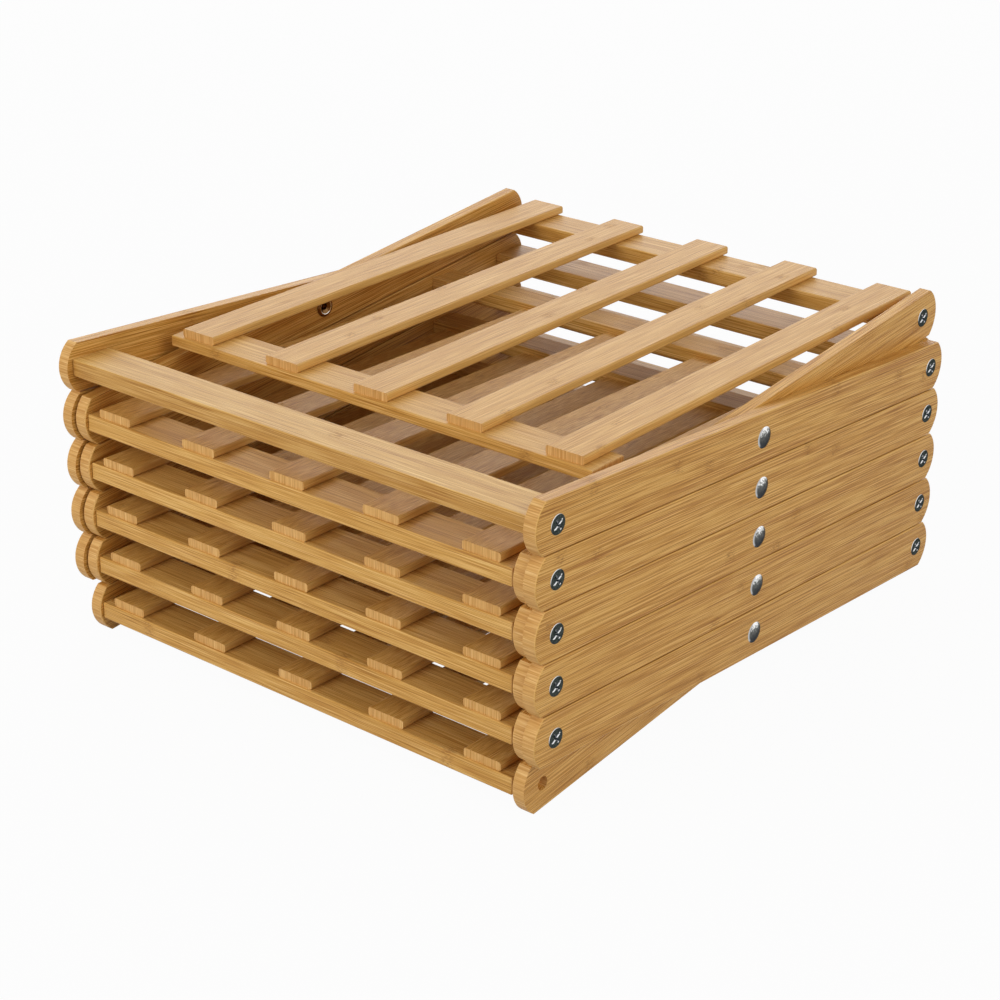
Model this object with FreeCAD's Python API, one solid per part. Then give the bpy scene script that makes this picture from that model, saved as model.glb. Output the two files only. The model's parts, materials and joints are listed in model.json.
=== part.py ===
"""Folding bamboo shoe rack, stored folded flat.

Two side frames are made of crossed arms. Outer arms fall from front to back,
inner arms rise from front to back, and each crossing is held by a rivet.
The arm ends meet on screws that run into the ends of cross rails.
Slatted shelves hang on the front pivots, and the top shelf on the back ones.

Frame: X runs along the rails, -Y is the front, +Z is up.
Origin: middle of the footprint at floor level. Lengths are in millimetres.
"""
import FreeCAD
import Part
import math
import os

# Arms
pairs = 5                  # crossings on each side
pivot_span = 378.0         # between the two end pivots of an arm
arm_height = 30.0          # depth of the arm's face
arm_thick = 8.0            # across the rack
arm_corner = 8.7           # end pivot to the corners of the rounded end
arm_tip = 16.0             # end pivot to the tip of the rounded end
arm_edge = 0.8             # eased edges of the face that shows
outer_lead = 2.0           # outer arms reach further before their front pivot, less behind

# Clearances
stack_gap = 0.8            # between arms lying on each other
arm_gap = 1.0              # between an outer and an inner arm, both sides alike
side_clear = 0.3           # what is left of it on the right, where the inner arms have slid
rail_gap = 1.0             # between a rail's end and the arm beside it
running = 0.05             # radial play of a pin that turns in an arm
hole_spare = 2.0           # a screw hole past the screw's tip
past = 1.0                 # cutters run past the faces they cut
hair = 1e-6                # tolerance when picking edges

# Rails
rail_length = 319.6        # rails that lie between the inner arms
rail_width = 28.0          # front to back
rail_thick = 10.5          # rails that take a screw in their ends
rail_edge = 0.8            # eased edges
front_tilt = 1.5           # top front rail, back edge down, degrees
front_rise = 1.2           # middle of the top front rail above its screws
stop_width = 24.0          # free back rail of a lower shelf
stop_drop = 1.3            # its lip below the underside of the slats
stop_round = 3.0           # its rounded lower edges
free_trim = 1.4            # free front rail of the top shelf, shorter at each end
free_thick = 6.8           # the same rail's thickness
open_angle = 42.0          # arm slope when the free rails hook on, degrees

# Slats
slats = 5                  # on each shelf
slat_width = 25.6
slat_thick = 5.3
slat_margin = 9.0          # from a rail's end to the outer slat
slat_edge = 1.4            # rounded long edges
slat_setback = 1.5         # behind the front edge of a lower shelf's rail
top_setback = 3.0          # behind the front edge of the top shelf's rail
slat_overhang = 3.0        # past the back edge of the top shelf's rail
slat_tenon = 12.0          # let into the free back rail

# Shelf attitude when folded
shelf_sag = 1.64           # lower shelves, back end down, degrees
top_lift = 0.25            # top shelf, front end up, degrees
top_rise = 2.0             # top shelf's pivot above the middle of its rail

# Screws, rivets and dowels
screw_dia = 6.0
head_dia = 11.5            # countersunk head
head_proud = 0.4           # its flat above the arm's face
head_round = 0.35          # its rounded rim
screw_grip = 30.0          # length inside a rail
cross_span = 6.6           # cross recess, tip to tip
cross_width = 1.9          # at the face
cross_floor = 0.5          # at the bottom
cross_depth = 1.6
cross_turn = 32.0          # degrees
rivet_dia = 6.0
dome_dia = 12.9
dome_rise = 1.8
ring_dia = 13.0            # rolled end of the rivet
ring_rise = 1.4
ring_round = 1.0           # its rounded rim
ring_mouth = 9.4           # flared mouth of its bore
ring_bore = 4.4
ring_depth = 4.0
dowel_dia = 8.0            # round ends of the lowest shelf's rail
dowel_recess = 3.8         # below the outer face of the arm

# Derived layout
fold = 0.5 * math.asin(2.0 * (arm_height + stack_gap) / pivot_span)
fold_deg = math.degrees(fold)
level_pitch = pivot_span * math.sin(fold)
reach = pivot_span * math.cos(fold)
front_y = -reach / 2.0
back_y = reach / 2.0
foot = arm_corner * math.sin(fold) + arm_height / 2.0 * math.cos(fold)
inner_in = rail_length / 2.0 + rail_gap
inner_out = inner_in + arm_thick
outer_in = inner_out + arm_gap
outer_out = outer_in + arm_thick
slide = arm_gap - side_clear
slat_pitch = (rail_length - 2.0 * slat_margin - slat_width) / (slats - 1)
free_length = rail_length - 2.0 * free_trim
shelf_reach = pivot_span * math.cos(math.radians(open_angle)) + rail_width / 2.0
screw_r = screw_dia / 2.0
head_r = head_dia / 2.0
head_deep = head_r - screw_r
rivet_r = rivet_dia / 2.0
dowel_r = dowel_dia / 2.0

vec = FreeCAD.Vector
x_axis = vec(1, 0, 0)
origin = vec(0, 0, 0)


def level(k):
    """Height of the pivots on level k, counted from the floor."""
    return foot + (k - 1) * level_pitch


def turned(shape, degrees):
    """The shape turned about the X axis through the origin."""
    out = shape.copy()
    out.rotate(origin, x_axis, degrees)
    return out


def moved(shape, y, z):
    """The shape shifted in the side plane."""
    out = shape.copy()
    out.translate(vec(0, y, z))
    return out


def slid(shape):
    """A piece of the inner side frames, at the right end of its side play."""
    out = shape.copy()
    out.translate(vec(slide, 0, 0))
    return out


def mirrored(shape):
    """The left-hand twin of a right-hand shape."""
    return shape.mirror(origin, x_axis)


def rod(radius, x0, x1, y=0.0, z=0.0):
    """Round bar or drill along X."""
    return Part.makeCylinder(radius, x1 - x0, vec(x0, y, z), x_axis)


def taper(r0, r1, x0, x1, y=0.0, z=0.0):
    """Cone along X from radius r0 to r1."""
    return Part.makeCone(r0, r1, x1 - x0, vec(x0, y, z), x_axis)


def box(x0, x1, y0, y1, z0, z1):
    """Box between two corners."""
    return Part.makeBox(x1 - x0, y1 - y0, z1 - z0, vec(x0, y0, z0))


def long_edges(shape, size):
    """Edges parallel to the longest side of a box."""
    return [e for e in shape.Edges if e.Length > size - hair]


def save(name, shape):
    """Write one piece."""
    shape.exportStep("parts/" + name + ".step")


# Arms, drawn on the right-hand side with the middle pivot at the origin
def arm_blank(x0, x_shown, lead):
    """Flat bar with an arc at each end, its edges eased on the face that shows."""
    corner = pivot_span / 2.0 + arm_corner
    tip = pivot_span / 2.0 + arm_tip
    half = arm_height / 2.0
    a = vec(x0, -corner - lead, -half)
    b = vec(x0, corner - lead, -half)
    c = vec(x0, corner - lead, half)
    d = vec(x0, -corner - lead, half)
    back_end = Part.Arc(b, vec(x0, tip - lead, 0), c).toShape()
    front_end = Part.Arc(d, vec(x0, -tip - lead, 0), a).toShape()
    outline = Part.Wire([Part.makeLine(a, b), back_end, Part.makeLine(c, d), front_end])
    body = Part.Face(outline).extrude(vec(arm_thick, 0, 0))
    rim = [e for e in body.Edges if abs(e.BoundBox.XMin - x_shown) + e.BoundBox.XLength < hair]
    return body.makeFillet(arm_edge, rim)


def drill(arm, radius, x0, y):
    """Plain hole through an arm."""
    return arm.cut(rod(radius, x0 - past, x0 + arm_thick + past, y))


def sink(arm, x_face, y):
    """Countersink for a screw head on the outer face."""
    cone = taper(screw_r + running, head_r + running, x_face - head_deep, x_face, y)
    return arm.cut(cone)


def outer_arm():
    """Outer arm: both ends countersunk, rivet hole in the middle."""
    arm = arm_blank(outer_in, outer_out, outer_lead)
    for y in (-pivot_span / 2.0, pivot_span / 2.0):
        arm = drill(arm, screw_r + running, outer_in, y)
        arm = sink(arm, outer_out, y)
    return drill(arm, rivet_r, outer_in, 0.0)


def inner_arm(k):
    """Inner arm: the lowest takes a dowel in front, the highest a screw head behind."""
    arm = arm_blank(inner_in, inner_in, 0.0)
    front_r = dowel_r if k == 1 else screw_r
    arm = drill(arm, front_r + running, inner_in, -pivot_span / 2.0)
    arm = drill(arm, screw_r + running, inner_in, pivot_span / 2.0)
    if k == pairs:
        arm = sink(arm, inner_out, pivot_span / 2.0)
    return drill(arm, rivet_r + running, inner_in, 0.0)


# Fasteners, drawn on the right-hand side with the axis through the origin
def groove(x_face):
    """One tapered slot of a cross recess, along Y."""
    half = cross_span / 2.0
    wide = cross_width / 2.0
    floor = cross_floor / 2.0
    sides = [(x_face - cross_depth, floor), (x_face, wide), (x_face + past, wide)]
    ring = [vec(x, -half, z) for x, z in sides] + [vec(x, -half, -z) for x, z in reversed(sides)]
    return Part.Face(Part.makePolygon(ring + ring[:1])).extrude(vec(0, cross_span, 0))


def screw(x_arm, x_tip):
    """Countersunk screw with a rounded rim and a cross recess."""
    x_face = x_arm + head_proud
    head = rod(head_r, x_arm, x_face)
    rim = [e for e in head.Edges if e.BoundBox.XMin > x_face - hair]
    head = head.makeFillet(head_round, rim)
    cone = taper(screw_r, head_r, x_arm - head_deep, x_arm)
    body = head.fuse([cone, rod(screw_r, x_tip, x_arm - head_deep)]).removeSplitter()
    slot = groove(x_face)
    cross = slot.fuse(turned(slot, 90.0))
    return body.cut(turned(cross, cross_turn))


def rivet():
    """Rivet with a domed head outside and a rolled hollow end inside."""
    ball_r = ((dome_dia / 2.0) ** 2 + dome_rise ** 2) / (2.0 * dome_rise)
    ball = Part.makeSphere(ball_r, vec(outer_out + dome_rise - ball_r, 0, 0))
    dome = ball.common(rod(dome_dia / 2.0, outer_out, outer_out + dome_rise + past))
    ring_face = inner_in - arm_gap
    ring_end = ring_face - ring_rise
    ring = rod(ring_dia / 2.0, ring_end, ring_face)
    lip = [e for e in ring.Edges if e.BoundBox.XMax < ring_end + hair]
    ring = ring.makeFillet(ring_round, lip)
    shank = rod(rivet_r, ring_face - ring_rise / 2.0, outer_out + dome_rise / 2.0)
    body = dome.fuse([shank, ring]).removeSplitter()
    body = body.cut(rod(ring_bore / 2.0, ring_end - past, ring_end + ring_depth))
    return body.cut(taper(ring_mouth / 2.0, ring_bore / 2.0, ring_end, ring_end + ring_rise))


def both_sides(shape, y, z):
    """Right and left twins of a fastener as one group."""
    right = moved(shape, y, z)
    return Part.makeCompound([right.Solids[0], mirrored(right).Solids[0]])


# Rails, drawn with the pivot axis through the origin
def rail(length, width, thick):
    """Board with all edges eased."""
    body = box(-length / 2.0, length / 2.0, -width / 2.0, width / 2.0, -thick / 2.0, thick / 2.0)
    return body.makeFillet(rail_edge, body.Edges)


def screw_holes(body, half):
    """Screw holes in both ends of a rail."""
    depth = screw_grip + hole_spare
    body = body.cut(rod(screw_r, half - depth, half + past))
    return body.cut(rod(screw_r, -half - past, -half + depth))


def pivot_rail():
    """Rail between the inner arms, screwed at both ends."""
    return screw_holes(rail(rail_length, rail_width, rail_thick), rail_length / 2.0)


def dowel_rail():
    """The lowest shelf's rail, with a round end in each arm."""
    tip = inner_out - dowel_recess
    return rail(rail_length, rail_width, rail_thick).fuse(rod(dowel_r, -tip, tip)).removeSplitter()


# Shelves, drawn level with the pivot axis through the origin
def slat_row(y0, y1, z0):
    """One shelf's slats, with rounded long edges."""
    row = []
    for i in range(slats):
        x = (i - (slats - 1) / 2.0) * slat_pitch
        slat = box(x - slat_width / 2.0, x + slat_width / 2.0, y0, y1, z0, z0 + slat_thick)
        row.append(slat.makeFillet(slat_edge, long_edges(slat, y1 - y0)).Solids[0])
    return row


def stop_rail(row):
    """Free back rail of a lower shelf, with the slats let into its front."""
    half = rail_length / 2.0
    z0 = rail_thick / 2.0 - stop_drop
    body = box(-half, half, shelf_reach, shelf_reach + stop_width, z0, z0 + rail_thick)
    low = [e for e in long_edges(body, rail_length) if e.BoundBox.ZMax < z0 + hair]
    body = body.makeFillet(stop_round, low)
    high = [e for e in long_edges(body, rail_length) if e.BoundBox.ZMin > z0 + rail_thick - hair]
    body = body.makeFillet(rail_edge, high)
    for slat in row:
        body = body.cut(slat)
    return body


def place(shape, degrees, y, z):
    """A piece turned about its pivot and set on its level."""
    return moved(turned(shape, degrees), y, z)


os.makedirs("parts", exist_ok=True)

# Side frames
outer = turned(outer_arm(), -fold_deg)
for k in range(1, pairs + 1):
    middle = level(k) + level_pitch / 2.0
    inner = turned(inner_arm(k), fold_deg)
    save("outer_arm_right_%d" % k, moved(outer, 0.0, middle))
    save("outer_arm_left_%d" % k, mirrored(moved(outer, 0.0, middle)))
    save("inner_arm_right_%d" % k, slid(moved(inner, 0.0, middle)))
    save("inner_arm_left_%d" % k, slid(mirrored(moved(inner, 0.0, middle))))
    save("pivot_rivets_%d" % k, both_sides(rivet(), 0.0, middle))

# Cross rails and their screws
rail_tip = rail_length / 2.0 - screw_grip
through_screw = screw(outer_out, rail_tip)
end_screw = screw(outer_out, outer_in - screw_grip)
for k in range(2, pairs + 1):
    save("back_rail_%d" % k, moved(pivot_rail(), back_y, level(k)))
    save("back_screws_%d" % k, both_sides(through_screw, back_y, level(k)))

top_rail = moved(rail(2.0 * outer_in, rail_width, rail_thick), 0.0, front_rise)
top_rail = screw_holes(top_rail, outer_in)
save("top_front_rail", place(top_rail, -front_tilt, front_y, level(pairs + 1)))
save("top_front_screws", both_sides(end_screw, front_y, level(pairs + 1)))
base_half = outer_in - rail_gap
base_rail = screw_holes(rail(2.0 * base_half, rail_width, rail_thick), base_half)
save("bottom_back_rail", moved(base_rail, back_y, level(1)))
save("bottom_back_screws", both_sides(screw(outer_out, base_half - screw_grip), back_y, level(1)))

# Lower shelves, hinged at the front
row = slat_row(-rail_width / 2.0 + slat_setback, shelf_reach + slat_tenon, rail_thick / 2.0)
stop = stop_rail(row)
for k in range(1, pairs + 1):
    hinge = dowel_rail() if k == 1 else pivot_rail()
    spot = (-shelf_sag, front_y, level(k))
    save("shelf_front_rail_%d" % k, place(hinge, *spot))
    save("shelf_back_rail_%d" % k, place(stop, *spot))
    save("shelf_slats_%d" % k, place(Part.makeCompound(row), *spot))
    if k > 1:
        save("shelf_screws_%d" % k, both_sides(through_screw, front_y, level(k)))

# Top shelf, hinged at the back
deck_z = rail_thick / 2.0 - top_rise
free_front = -(shelf_reach + rail_width)
top_row = slat_row(free_front + top_setback, rail_width / 2.0 + slat_overhang, deck_z)
free_rail = rail(free_length, rail_width, free_thick)
free_rail = moved(free_rail, free_front + rail_width / 2.0, deck_z - free_thick / 2.0)
hinge = rail(rail_length, rail_width, rail_thick)
hinge = screw_holes(moved(hinge, 0.0, -top_rise), rail_length / 2.0)
top = pairs + 1
spot = (-top_lift, back_y, level(top))
save("shelf_front_rail_%d" % top, place(free_rail, *spot))
save("shelf_back_rail_%d" % top, place(hinge, *spot))
save("shelf_slats_%d" % top, place(Part.makeCompound(top_row), *spot))
save("shelf_screws_%d" % top, slid(both_sides(screw(inner_out, rail_tip), back_y, level(top))))
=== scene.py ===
"""Looks of a folding bamboo shoe rack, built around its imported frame.

Metres throughout, in the frame of the solids: X along the rails, -Y front, +Z up.
Patterns are laid out in millimetres, because grain and strips are that size.
"""
import json
import math

import bmesh
import bpy
from mathutils import Euler, Matrix, Vector


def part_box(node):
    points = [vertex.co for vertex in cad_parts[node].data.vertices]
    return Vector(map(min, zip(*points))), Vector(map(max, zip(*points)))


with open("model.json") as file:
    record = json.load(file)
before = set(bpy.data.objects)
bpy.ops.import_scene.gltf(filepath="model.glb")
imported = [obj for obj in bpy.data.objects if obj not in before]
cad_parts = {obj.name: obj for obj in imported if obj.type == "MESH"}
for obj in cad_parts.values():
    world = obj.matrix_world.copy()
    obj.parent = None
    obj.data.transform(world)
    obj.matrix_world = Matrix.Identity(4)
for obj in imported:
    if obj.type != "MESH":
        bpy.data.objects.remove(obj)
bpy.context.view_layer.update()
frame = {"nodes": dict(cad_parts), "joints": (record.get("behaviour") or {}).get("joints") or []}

nodes = frame["nodes"]
hinges = {joint["name"]: joint for joint in frame["joints"]}

# Layout read from the frame
MM = 0.001
FOOT = hinges["fold"]["pos_m"][2]
BACK = hinges["fold"]["pos_m"][1]
PITCH = hinges["outer_hinge_2"]["pos_m"][2] - FOOT
SLOPE = math.atan2(PITCH, 2.0 * BACK)
INNER_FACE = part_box("inner_arm_right_1")[1].x

# Camera, fitted to the photograph
CAMERA_SPOT = Vector((0.8119, -1.0097, 0.6476 + FOOT))
CAMERA_AZIMUTH = math.radians(39.27)
CAMERA_ELEVATION = math.radians(24.82)
CAMERA_ROLL = math.radians(-0.01)
CAMERA_LENS = 82.67
CAMERA_SENSOR = 36.0


class Value:
    """A socket's value in a material. Arithmetic on it adds Math nodes."""

    def __init__(self, graph, socket):
        self.graph = graph
        self.socket = socket

    def math(self, operation, *others):
        """One Math node on this value and others."""
        inputs = {i: other for i, other in enumerate((self,) + others)}
        return self.graph.node("ShaderNodeMath", {"operation": operation}, inputs)[0]

    def flip(self, operation, other):
        """A Math node with this value second."""
        return self.graph.node("ShaderNodeMath", {"operation": operation}, {0: other, 1: self})[0]

    def __add__(self, other):
        return self.math("ADD", other)

    def __radd__(self, other):
        return self.flip("ADD", other)

    def __sub__(self, other):
        return self.math("SUBTRACT", other)

    def __rsub__(self, other):
        return self.flip("SUBTRACT", other)

    def __mul__(self, other):
        return self.math("MULTIPLY", other)

    def __rmul__(self, other):
        return self.flip("MULTIPLY", other)

    def __truediv__(self, other):
        return self.math("DIVIDE", other)

    def __rtruediv__(self, other):
        return self.flip("DIVIDE", other)

    def __abs__(self):
        return self.math("ABSOLUTE")

    def either(self, other):
        """The larger of two masks."""
        return self.math("MAXIMUM", other)

    def step(self, low, high):
        """Smooth rise from 0 at low to 1 at high."""
        ends = {"Value": self, "From Min": low, "From Max": high}
        return self.graph.node("ShaderNodeMapRange", {"interpolation_type": "SMOOTHSTEP"}, ends)["Result"]

    def band(self, low, low_end, high, high_end):
        """1 from low_end to high, with smooth sides that reach 0 at low and high_end."""
        return self.step(low, low_end) * (1.0 - self.step(high, high_end))

    def crease(self, narrow, broad):
        """1 where noise crosses its middle, which draws thin winding lines."""
        return 1.0 - abs(self - 0.5).step(narrow, broad)


class Outputs:
    """A node's output sockets as values, by name or by place."""

    def __init__(self, graph, made):
        self.graph = graph
        self.made = made

    def __getitem__(self, key):
        return Value(self.graph, self.made.outputs[key])


class Graph:
    """A node tree that is written as expressions."""

    def __init__(self, tree):
        self.tree = tree
        tree.nodes.clear()

    def node(self, kind, settings=None, inputs=None):
        """Any node: its settings are set first, then its sockets."""
        made = self.tree.nodes.new(kind)
        for name, value in (settings or {}).items():
            if name == "stops":
                fill_ramp(made.color_ramp, value)
            else:
                setattr(made, name, value)
        for key, value in (inputs or {}).items():
            if isinstance(value, Value):
                self.tree.links.new(value.socket, made.inputs[key])
            else:
                made.inputs[key].default_value = value
        return Outputs(self, made)

    def mix(self, factor, first, second, blend="MIX"):
        """Two colours mixed by a factor."""
        settings = {"data_type": "RGBA", "blend_type": blend, "clamp_factor": True}
        return self.node("ShaderNodeMix", settings, {0: factor, 6: first, 7: second})[2]

    def ramp(self, place, stops):
        """A colour from a ramp."""
        return self.node("ShaderNodeValToRGB", {"stops": stops}, {0: place})[0]

    def point(self, x, y, z):
        """A vector of three values."""
        return self.node("ShaderNodeCombineXYZ", None, {0: x, 1: y, 2: z})[0]

    def axes(self, vector):
        """A vector's three values, by the names of the axes."""
        return self.node("ShaderNodeSeparateXYZ", None, {0: vector})

    def noise(self, point, detail=2.0, roughness=0.5):
        """Smooth noise at a point given in periods."""
        inputs = {"Vector": point, "Scale": 1.0, "Detail": detail, "Roughness": roughness}
        return self.node("ShaderNodeTexNoise", None, inputs)["Fac"]

    def surface(self, kind, inputs):
        """A shader and the output that it feeds."""
        shader = self.node(kind, None, inputs)[0]
        self.node("ShaderNodeOutputMaterial", None, {"Surface": shader})


def fill_ramp(ramp, stops):
    """Stops of a colour ramp as (place, colour)."""
    while len(ramp.elements) < len(stops):
        ramp.elements.new(1.0)
    for element, (place, colour) in zip(ramp.elements, stops):
        element.position = place
        element.color = tone(colour)


def tone(colour):
    """A colour with full alpha."""
    return tuple(colour) + (1.0,)


def new_material(name):
    """An empty material and its graph."""
    material = bpy.data.materials.new(name)
    material.use_nodes = True
    return material, Graph(material.node_tree)


# Bamboo, in linear colours
PALE = (0.800, 0.490, 0.158)
STRAW = (0.620, 0.318, 0.065)
HONEY = (0.500, 0.232, 0.042)
BROWN = (0.330, 0.130, 0.018)
RUST = (0.400, 0.140, 0.036)
SHEATH = (0.300, 0.125, 0.030)
WOOD_STOPS = [(0.0, BROWN), (0.34, HONEY), (0.60, STRAW), (1.0, PALE)]
END_DARK = (0.500, 0.245, 0.060)
END_PALE = (0.640, 0.355, 0.112)
END_LIGHT = (0.800, 0.520, 0.215)
END_LINE = (0.420, 0.185, 0.045)
END_STOPS = [(0.28, END_DARK), (0.50, END_PALE), (0.72, END_LIGHT)]

# Fibres as (length, width), and other sizes of the pattern, in millimetres
HAIR = (44.0, 0.31)
LINE = (200.0, 2.4)
BAND = (420.0, 8.0)
VEIN = (260.0, 3.2)
DASH = (8.0, 0.45)
STREAK = (150.0, 0.65)
SPECKLE = (3.2, 0.7)
SWAY = (160.0, 40.0)
SWAY_REACH = 1.6
END_RING = (30.0, 0.6)
END_GLUE = (60.0, 2.0)
CULM_LENGTH = 900.0
NODE_SPACING = 235.0
NODE_HALF = (1.0, 7.0)
PIECE_CELL = 23.0

# Levels of noise between which a mark fades in, or a crease fades out
VEIN_CREASE = (0.010, 0.045)
GLUE_CREASE = (0.01, 0.06)
DASH_MARK = (0.60, 0.70)
STREAK_MARK = (0.62, 0.70)
SPECKLE_MARK = (0.48, 0.60)
NODE_CHANCE = (0.55, 0.65)

# Shifts that keep patterns and strips apart, in periods of the noise
SWAY_SPREAD = 60.0
END_SPREAD = 9.0
VEIN_SHIFT = 40.0
STREAK_SHIFT = 90.0

# How strongly each kind of fibre shades the wood, about a middle shade
MIDDLE_SHADE = 0.575
HAIR_SHADE = 3.2
LINE_SHADE = 0.14
DASH_SHADE = 0.13
VEIN_SHADE = 0.04
BAND_SHADE = 0.12
LOT_SHADE = 0.10

# Shares of another colour in a mark, and of pale colour in the painted highlight on arm edges and the
# painted light on slat sides
STREAK_RUST = 0.50
NODE_SHEATH = 0.08
SPECKLE_SHEATH = 0.55
GLUE_SHARE = 0.45
EDGE_HIGHLIGHT = 0.45
SLAT_SIDE_PAINTED_LIGHT = 0.35

# Shares of a facing at which a face counts as an end, as a side or as a rounded edge
END_ON = (0.40, 0.70)
SIDE_ON = (0.50, 0.90)
EDGE_ON = (0.15, 0.40, 0.85, 0.97)

# Finish of the wood
WOOD_SPECULAR = 0.25
WOOD_ROUGHNESS = 0.37
WOOD_BUMP = 0.20
WOOD_RELIEF = 0.15 * MM


def straightened(g, turn):
    """The spot in millimetres and the facing of a piece that lies at a slope, turned about X."""
    coordinates = g.node("ShaderNodeTexCoord")
    rotation = (turn, 0.0, 0.0)
    scale = (1.0 / MM,) * 3
    spot = g.node("ShaderNodeMapping", None,
                  {"Vector": coordinates["Object"], "Rotation": rotation, "Scale": scale})[0]
    facing = g.node("ShaderNodeMapping", {"vector_type": "NORMAL"},
                    {"Vector": coordinates["Normal"], "Rotation": rotation})[0]
    return g.axes(spot), g.axes(facing)


def strip_lot(g, spot, grain, strip, strip_start, seed):
    """Three chance shares for the strip that a spot lies in, on its level and in its piece's cell."""
    level = ((spot["Z"] - FOOT / MM) / (PITCH / MM)).math("ROUND")
    side = (spot["X"] / PIECE_CELL).math("FLOOR") if grain[0] != "X" else 0.0
    strip_number = ((spot[grain[1]] - strip_start) / strip).math("FLOOR")
    lot = g.node("ShaderNodeTexWhiteNoise", {"noise_dimensions": "3D"},
                 {"Vector": g.point(strip_number + seed, level, side)})["Color"]
    return g.node("ShaderNodeSeparateColor", None, {0: lot})


def fibres(g, size, spot, detail, roughness=0.5, shift=0.0):
    """Noise drawn out along the grain. spot is along, across and through it."""
    length, width = size
    along, across, through = spot
    return g.noise(g.point(along / length, across / width, through / width + shift), detail, roughness)


def sawn_end(g, across, through, lot):
    """Colour of a sawn end: close in tone, with thin lines across the strip."""
    depth, width = END_RING
    ring = g.noise(g.point(across / width, through / depth, lot[0] * END_SPREAD), 2.0, 0.7)
    depth, width = END_GLUE
    glue = g.noise(g.point(across / width, through / depth, lot[1] * END_SPREAD), 1.0)
    return g.mix(glue.crease(*GLUE_CREASE) * GLUE_SHARE, g.ramp(ring, END_STOPS), tone(END_LINE))


def bamboo(name, grain, turn, strip, strip_start, seed, contrast, tint, front_shade=None):
    """Laminated bamboo with its grain along one axis.

    grain names the axes that run along, across and through the strips.
    turn straightens pieces that lie at a slope, about X.
    strip is the width of one strip, counted from strip_start, in millimetres.
    contrast scales the fibres' spread of tones, and tint shades them all.
    front_shade shades the front and back faces once more, as painted shade.
    """
    material, g = new_material(name)
    spot, facing = straightened(g, turn)
    along, across, through = (spot[axis] for axis in grain)
    end_on = abs(facing[grain[0]]).step(*END_ON)

    # Each strip has its own tone, its own place along the culm and its own nodes
    lot = strip_lot(g, spot, grain, strip, strip_start, seed)
    run = along + lot[1] * CULM_LENGTH

    # Fibres, from hair lines to broad bands, all stretched along the grain
    length, width = SWAY
    sway = (g.noise(g.point(along / length, across / width, lot[0] * SWAY_SPREAD)) - 0.5) * SWAY_REACH
    strand = (run, across + sway, through)
    hair = fibres(g, HAIR, strand, 1.0, 0.6)
    line = fibres(g, LINE, strand, 2.0, 0.6)
    band = fibres(g, BAND, strand, 2.0)
    vein = fibres(g, VEIN, strand, 2.0, shift=VEIN_SHIFT).crease(*VEIN_CREASE)
    dash = fibres(g, DASH, strand, 1.0).step(*DASH_MARK)
    rust = fibres(g, STREAK, strand, 1.0, shift=STREAK_SHIFT).step(*STREAK_MARK)

    # A node of the culm: a short darker stretch with speckled fibres
    node_off = abs((run / NODE_SPACING).math("FRACT") - 0.5) * NODE_SPACING
    node_band = (1.0 - node_off.step(*NODE_HALF)) * lot[2].step(*NODE_CHANCE)
    speckle = fibres(g, SPECKLE, (run, across, through), 2.0).step(*SPECKLE_MARK)

    # Long faces
    fibre = (hair - 0.5) * HAIR_SHADE + (line - 0.5) * LINE_SHADE - dash * DASH_SHADE - vein * VEIN_SHADE
    shade = MIDDLE_SHADE + fibre * contrast + (band - 0.5) * BAND_SHADE + (lot[0] - 0.5) * LOT_SHADE
    colour = g.mix(rust * (STREAK_RUST * contrast), g.ramp(shade, WOOD_STOPS), tone(RUST))
    colour = g.mix(1.0, colour, tone(tint), "MULTIPLY")
    # Painted shade on the front and back faces
    if front_shade:
        front_on = abs(facing["Y"]).step(*SIDE_ON)
        colour = g.mix(front_on, colour, tone(front_shade), "MULTIPLY")
    colour = g.mix(node_band * (NODE_SHEATH + speckle * SPECKLE_SHEATH), colour, tone(SHEATH))

    # Ends, the painted highlight on the rounded edges of arms and the painted light on the sides of slats
    colour = g.mix(end_on, colour, sawn_end(g, across, through, lot))
    sideways = abs(facing["X"])
    if grain[2] == "X":
        # Painted highlight on the rounded edges of arms
        colour = g.mix(sideways.band(*EDGE_ON) * EDGE_HIGHLIGHT, colour, tone(PALE))
    if grain[1] == "X":
        # Painted light on the sides of slats
        colour = g.mix(sideways.step(*SIDE_ON) * SLAT_SIDE_PAINTED_LIGHT, colour, tone(PALE))

    roughness = WOOD_ROUGHNESS + (1.0 - hair) * 0.12 + end_on * 0.12 + node_band * 0.06
    relief = hair * 0.5 + line * 0.5 - dash * 0.5 - vein * 0.4 - node_band * speckle * 0.5
    bump = g.node("ShaderNodeBump", None,
                  {"Strength": WOOD_BUMP, "Distance": WOOD_RELIEF, "Height": relief})[0]
    g.surface("ShaderNodeBsdfPrincipled",
              {"Base Color": colour, "Roughness": roughness, "Normal": bump,
               "Specular IOR Level": WOOD_SPECULAR})
    return material


# Metal, in linear colours, and its finish
EDGE_TINT = (0.45, 0.45, 0.45)
ZINC_DULL = (0.026, 0.033, 0.031)
ZINC_CLOUD = (0.072, 0.085, 0.078)
ZINC_SHADE = (0.060, 0.075, 0.090)
# Colour of the painted highlights on a screw head
ZINC_HIGHLIGHT = (0.95, 0.95, 0.95)
# A dome's painted light, from painted highlight at the start to painted shade at the far end
NICKEL_PAINTED_LIGHT = [(0.00, (0.97, 0.97, 0.96)), (0.12, (0.90, 0.90, 0.89)), (0.19, (0.56, 0.56, 0.54)),
                (0.27, (0.230, 0.235, 0.225)), (0.34, (0.130, 0.132, 0.125)), (0.50, (0.083, 0.086, 0.084)),
                (0.75, (0.050, 0.053, 0.055)), (0.95, (0.060, 0.064, 0.072))]
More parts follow.
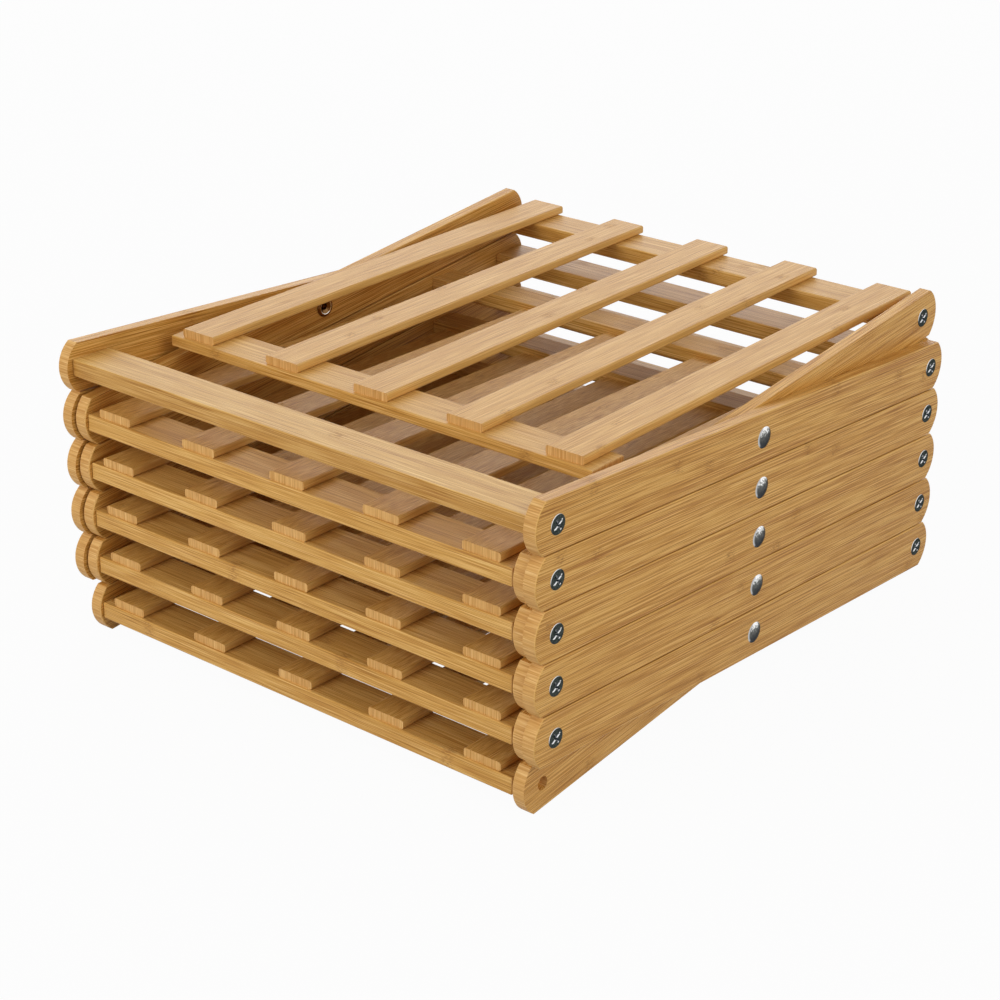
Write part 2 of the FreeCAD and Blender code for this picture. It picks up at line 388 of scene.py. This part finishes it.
# Colour of the painted highlight on a dome's front rim
NICKEL_RIM_HIGHLIGHT = (0.50, 0.50, 0.50)
NICKEL_LIP = (0.92, 0.92, 0.91)
NICKEL_BORE = (0.250, 0.130, 0.050)
ZINC_ROUGHNESS = 0.30
NICKEL_ROUGHNESS = 0.14
ZINC_CLOUDS_PER_MM = 1.4
NICKEL_CLOUDS_PER_MM = 0.8
CLOUD_MARK = (0.35, 0.65)

# How far a screw head's faces have to face out, or up and to the front for the rim's painted highlight
HEAD_FLAT = (0.90, 0.97)
RIM_UP = 0.85
RIM_FRONT = 0.5
RIM_LIT = (0.15, 0.60)

# A screw head's painted highlights, in millimetres from its axis and from the bars of its turned cross
CROSS_TURN = math.radians(32.0)
HEAD_RIM = (4.0, 4.6)
LONG_BAR_FAR = (-0.98, -0.88, -0.74, -0.62)
SHORT_BAR_FAR = (0.40, 0.52, 0.72, 0.84)
SHORT_BAR_FAR_END = (0.2, 0.6)
NEAR_WALL = (0.15, 0.25)
PAST_MIDDLE = (0.9, 1.0)
LONG_TIP_HIGHLIGHT = (2.9, 3.1, 3.9, 4.2)
LONG_TIP_HIGHLIGHT_HALF = (0.25, 0.50)
LOW_TIP_HIGHLIGHT = (2.9, 3.1, 3.8, 4.1)
LOW_TIP_HIGHLIGHT_HALF = (0.40, 0.65)

# A rivet's painted light and rolled ring, in millimetres from its axis
DOME_RISE = 12.0
DOME_EDGE = (5.1, 6.1)
DOME_EDGE_FRONT = (2.5, 4.5)
RING_LIP = (4.3, 4.5, 4.8, 5.0)
RING_DEPTH = (4.0, 3.0)

# Shares in the metals' painted highlights, painted shade and mottle
SHORT_BAR_SHARE = 0.7
DOME_LEAN = 0.10
DOME_MIDDLE = 0.53
DOME_CLOUD = 0.70
DOME_EDGE_LEAN = 0.25


def around_axis(g, spot, start):
    """Spot's axes, and the height over the nearest axis on the levels, in millimetres."""
    spot = g.axes(spot)
    rise = (((spot["Z"] - start) / PITCH + 0.5).math("FRACT") - 0.5) * (PITCH / MM)
    return spot, rise


def cloudiness(g, spot, per_mm):
    """Soft cloudy noise in plate."""
    in_periods = g.node("ShaderNodeVectorMath", {"operation": "SCALE"}, {0: spot, "Scale": per_mm / MM})[0]
    return g.noise(in_periods, 3.0)


def plate(g, colour, roughness):
    """Plated steel of a colour."""
    g.surface("ShaderNodeBsdfPrincipled",
              {"Base Color": colour, "Roughness": roughness, "Metallic": 1.0,
               "Specular Tint": tone(EDGE_TINT)})


def cross_highlights(aside, rise, rim):
    """Masks of painted highlights on a head's recess walls, and of painted highlight streaks on its face
    past three tips.
    """
    first = aside * math.cos(CROSS_TURN) + rise * math.sin(CROSS_TURN)
    second = rise * math.cos(CROSS_TURN) - aside * math.sin(CROSS_TURN)
    low = 0.0 - second

    near_wall = second.step(*NEAR_WALL) * abs(first).step(*PAST_MIDDLE)
    long_mark = second.band(*LONG_BAR_FAR).either(near_wall)
    far_wall = first.band(*SHORT_BAR_FAR) * second.step(*SHORT_BAR_FAR_END) * SHORT_BAR_SHARE
    near_wall = (0.0 - first).step(*NEAR_WALL) * abs(second).step(*PAST_MIDDLE)
    short_mark = far_wall.either(near_wall)
    mark = long_mark.either(short_mark) * (1.0 - rim)

    long_tip = abs(first).band(*LONG_TIP_HIGHLIGHT) * (1.0 - abs(second).step(*LONG_TIP_HIGHLIGHT_HALF))
    low_tip = low.band(*LOW_TIP_HIGHLIGHT) * (1.0 - abs(first).step(*LOW_TIP_HIGHLIGHT_HALF))
    return mark, long_tip.either(low_tip)


def zinc(name):
    """Dark zinc plate: the flat of a head is dull, and its upper front rim, parts of its recess and streaks
    past three tips of its cross carry painted highlights.
    """
    material, g = new_material(name)
    coordinates = g.node("ShaderNodeTexCoord")
    facing = g.axes(coordinates["Normal"])
    spot, rise = around_axis(g, coordinates["Object"], FOOT)
    aside = (spot["Y"] - spot["Y"].math("SIGN") * BACK) / MM
    radius = (aside * aside + rise * rise).math("SQRT")
    rim = radius.step(*HEAD_RIM)
    # Painted highlights: the rim where it faces up and to the front, parts of the recess walls and streaks
    # past three tips of the cross
    lit_rim = (facing["Z"] * RIM_UP - facing["Y"] * RIM_FRONT).step(*RIM_LIT) * rim
    mark, tip = cross_highlights(aside, rise, rim)

    flat = abs(facing["X"]).step(*HEAD_FLAT) * (1.0 - tip)
    lit = lit_rim + mark.either(tip)
    cloud = cloudiness(g, coordinates["Object"], ZINC_CLOUDS_PER_MM)
    dull = g.mix(cloud.step(*CLOUD_MARK), tone(ZINC_DULL), tone(ZINC_CLOUD))
    painted_highlight = g.mix(lit, tone(ZINC_SHADE), tone(ZINC_HIGHLIGHT))
    plate(g, g.mix(flat, painted_highlight, dull), ZINC_ROUGHNESS + flat * 0.06 + cloud * 0.06)
    return material


def nickel(name):
    """Nickel plate: a dome carries painted light, bright above and in front and painted shade below and
    behind, with a painted highlight on its front rim and a cloudy mottle.
    """
    material, g = new_material(name)
    coordinates = g.node("ShaderNodeTexCoord")["Object"]
    spot, rise = around_axis(g, coordinates, FOOT + PITCH / 2.0)
    back = spot["Y"] / MM
    radius = (back * back + rise * rise).math("SQRT")
    cloud = cloudiness(g, coordinates, NICKEL_CLOUDS_PER_MM)
    # Painted light on the dome: bright above and in front, painted shade below and behind, over a cloudy
    # mottle
    shade = (back * DOME_LEAN - rise) / DOME_RISE + DOME_MIDDLE + (cloud - 0.5) * DOME_CLOUD
    # A painted highlight along the dome's front rim
    edge = radius.step(*DOME_EDGE) * (rise * DOME_EDGE_LEAN - back).step(*DOME_EDGE_FRONT)
    colour = g.mix(edge, g.ramp(shade, NICKEL_PAINTED_LIGHT), tone(NICKEL_RIM_HIGHLIGHT))

    # The rolled ring between the sides
    ring_start, ring_end = (INNER_FACE / MM - depth for depth in RING_DEPTH)
    inside = 1.0 - (abs(spot["X"]) / MM).step(ring_start, ring_end)
    rolled = g.mix(radius.band(*RING_LIP), tone(NICKEL_BORE), tone(NICKEL_LIP))
    plate(g, g.mix(inside, colour, rolled), NICKEL_ROUGHNESS + cloud * 0.08)
    return material


# One bamboo for each way that the grain runs, and one for the top rail, whose front and back faces carry
# painted shade
ARM_TINT = (1.00, 0.98, 0.92)
RAIL_TINT = (0.98, 1.02, 1.14)
SLAT_TINT = (1.00, 1.03, 1.14)
TOP_RAIL_TINT = (1.01, 1.09, 1.23)
# Painted shade on the top rail's front and back faces
TOP_RAIL_FRONT_SHADE = (0.81, 0.75, 0.71)
ARM_STRIP = 7.7
ARM_START = (FOOT + PITCH / 2.0) * math.cos(SLOPE) / MM - 2.0 * ARM_STRIP
arm = {"grain": "YZX", "strip": ARM_STRIP, "strip_start": ARM_START, "contrast": 1.0, "tint": ARM_TINT}
rail = {"grain": "XYZ", "turn": 0.0, "strip": 7.0, "strip_start": BACK / MM, "seed": 83.0, "contrast": 0.75}
slat = {"grain": "YXZ", "turn": 0.0, "strip": 6.4, "strip_start": 0.0, "seed": 29.0, "contrast": 0.65}
rail_bamboo = bamboo("bamboo_rail", tint=RAIL_TINT, **rail)
top_rail_bamboo = bamboo("bamboo_top_rail", tint=TOP_RAIL_TINT, front_shade=TOP_RAIL_FRONT_SHADE, **rail)
finishes = [("outer_arm", bamboo("bamboo_outer_arm", turn=SLOPE, seed=11.0, **arm)),
            ("inner_arm", bamboo("bamboo_inner_arm", turn=-SLOPE, seed=47.0, **arm)),
            ("slats", bamboo("bamboo_slat", tint=SLAT_TINT, **slat)),
            ("top_front_rail", top_rail_bamboo),
            ("screws", zinc("screw_zinc")),
            ("rivets", nickel("rivet_nickel"))]


def finish_of(name):
    """The material that a node is made of."""
    for word, material in finishes:
        if word in name:
            return material
    return rail_bamboo


for name, node in nodes.items():
    for slot in node.material_slots:
        slot.material = finish_of(name)


# Stage, world and lights
WHITE = (1.0, 1.0, 1.0)
FLOOR_SIZE = 12.0
FLOOR_GREY = (0.50, 0.50, 0.50)
FLOOR_WHITENESS = 0.96
WORLD_LIGHT = 0.45
LAMP_AIM = Vector((0.0, 0.0, 0.1))


def shown(g):
    """1 for rays that end in the picture, straight or by way of metal or glass."""
    path = g.node("ShaderNodeLightPath")
    return path["Is Camera Ray"].either(path["Is Glossy Ray"]).either(path["Is Transmission Ray"])


def add_floor():
    """A pale floor that looks white to the camera and keeps a soft shadow."""
    mesh = bpy.data.meshes.new("floor")
    shape = bmesh.new()
    bmesh.ops.create_grid(shape, x_segments=1, y_segments=1, size=FLOOR_SIZE / 2.0)
    shape.to_mesh(mesh)
    shape.free()
    floor = bpy.data.objects.new("floor", mesh)
    bpy.context.scene.collection.objects.link(floor)
    material, g = new_material("floor_white")
    matt = g.node("ShaderNodeBsdfDiffuse", None, {"Color": tone(FLOOR_GREY)})[0]
    white = g.node("ShaderNodeEmission", None, {"Color": tone(WHITE), "Strength": 1.0})[0]
    g.surface("ShaderNodeMixShader", {0: shown(g) * FLOOR_WHITENESS, 1: matt, 2: white})
    mesh.materials.append(material)


def set_world():
    """A white surround: full white where it is seen, softer as a light."""
    world = bpy.data.worlds.new("studio")
    world.use_nodes = True
    bpy.context.scene.world = world
    g = Graph(world.node_tree)
    power = shown(g) * (1.0 - WORLD_LIGHT) + WORLD_LIGHT
    sky = g.node("ShaderNodeBackground", None, {"Color": tone(WHITE), "Strength": power})[0]
    g.node("ShaderNodeOutputWorld", None, {"Surface": sky})


def add_lamp(name, spot, size, power, mirrored):
    """A square soft box that faces the rack, mirrored in polished surfaces or not."""
    lamp = bpy.data.lights.new(name, "AREA")
    lamp.size = size
    lamp.energy = power
    holder = bpy.data.objects.new(name, lamp)
    holder.location = spot
    holder.rotation_euler = (LAMP_AIM - Vector(spot)).to_track_quat("-Z", "Y").to_euler()
    holder.visible_camera = False
    holder.visible_glossy = mirrored
    bpy.context.scene.collection.objects.link(holder)


def add_camera():
    """The camera at the photograph's place."""
    lens = bpy.data.cameras.new("photo_camera")
    lens.sensor_width = CAMERA_SENSOR
    lens.lens = CAMERA_LENS
    camera = bpy.data.objects.new("photo_camera", lens)
    level_turn = Euler((math.pi / 2.0 - CAMERA_ELEVATION, 0.0, CAMERA_AZIMUTH)).to_matrix().to_4x4()
    roll_turn = Matrix.Rotation(CAMERA_ROLL, 4, "Z")
    camera.matrix_world = Matrix.Translation(CAMERA_SPOT) @ level_turn @ roll_turn
    bpy.context.scene.collection.objects.link(camera)
    bpy.context.scene.camera = camera


add_floor()
set_world()
add_lamp("key", spot=(-0.8, -2.05, 0.98), size=1.6, power=28.5, mirrored=False)
add_lamp("back", spot=(-1.35, 1.65, 1.05), size=1.9, power=17.0, mirrored=True)
add_lamp("fill", spot=(2.0, -0.4, 1.2), size=1.5, power=18.0, mirrored=False)
add_camera()
bpy.context.scene.view_settings.view_transform = "Standard"
